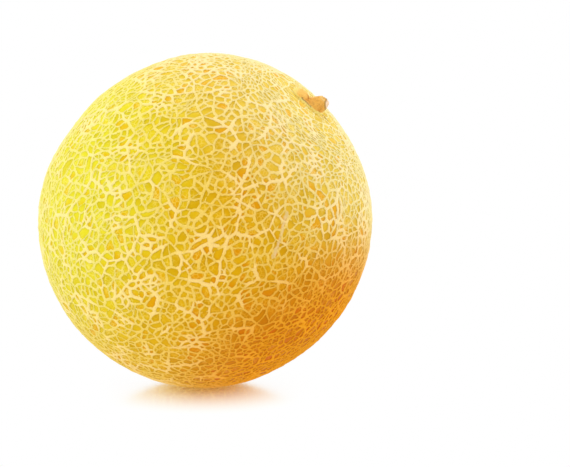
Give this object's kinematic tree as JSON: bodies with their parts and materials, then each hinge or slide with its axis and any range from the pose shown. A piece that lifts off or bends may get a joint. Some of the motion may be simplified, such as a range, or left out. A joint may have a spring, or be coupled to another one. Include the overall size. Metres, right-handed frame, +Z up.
{
  "type": "netted melon",
  "caption": "Whole round netted melon with yellow rind, corky net and the dried stub of its stem, lying on a small flat spot.",
  "frame": {"origin": "on the floor under the middle of the fruit's box, in the plane of the flat spot that it lies on", "axes": "+Z up from the flat spot; the stem end points up and to +X, 49 degrees above the floor; -Y is the side seen first"},
  "size_m": [0.1456, 0.1424, 0.146],
  "materials": {
    "rind": "satin yellow rind under a raised, dry, pale net",
    "dry_stem": "dry and matte"
  },
  "bodies": {
    "root": {"fruit": "rind", "stem_stub": "dry_stem"}
  },
  "joints": []
}
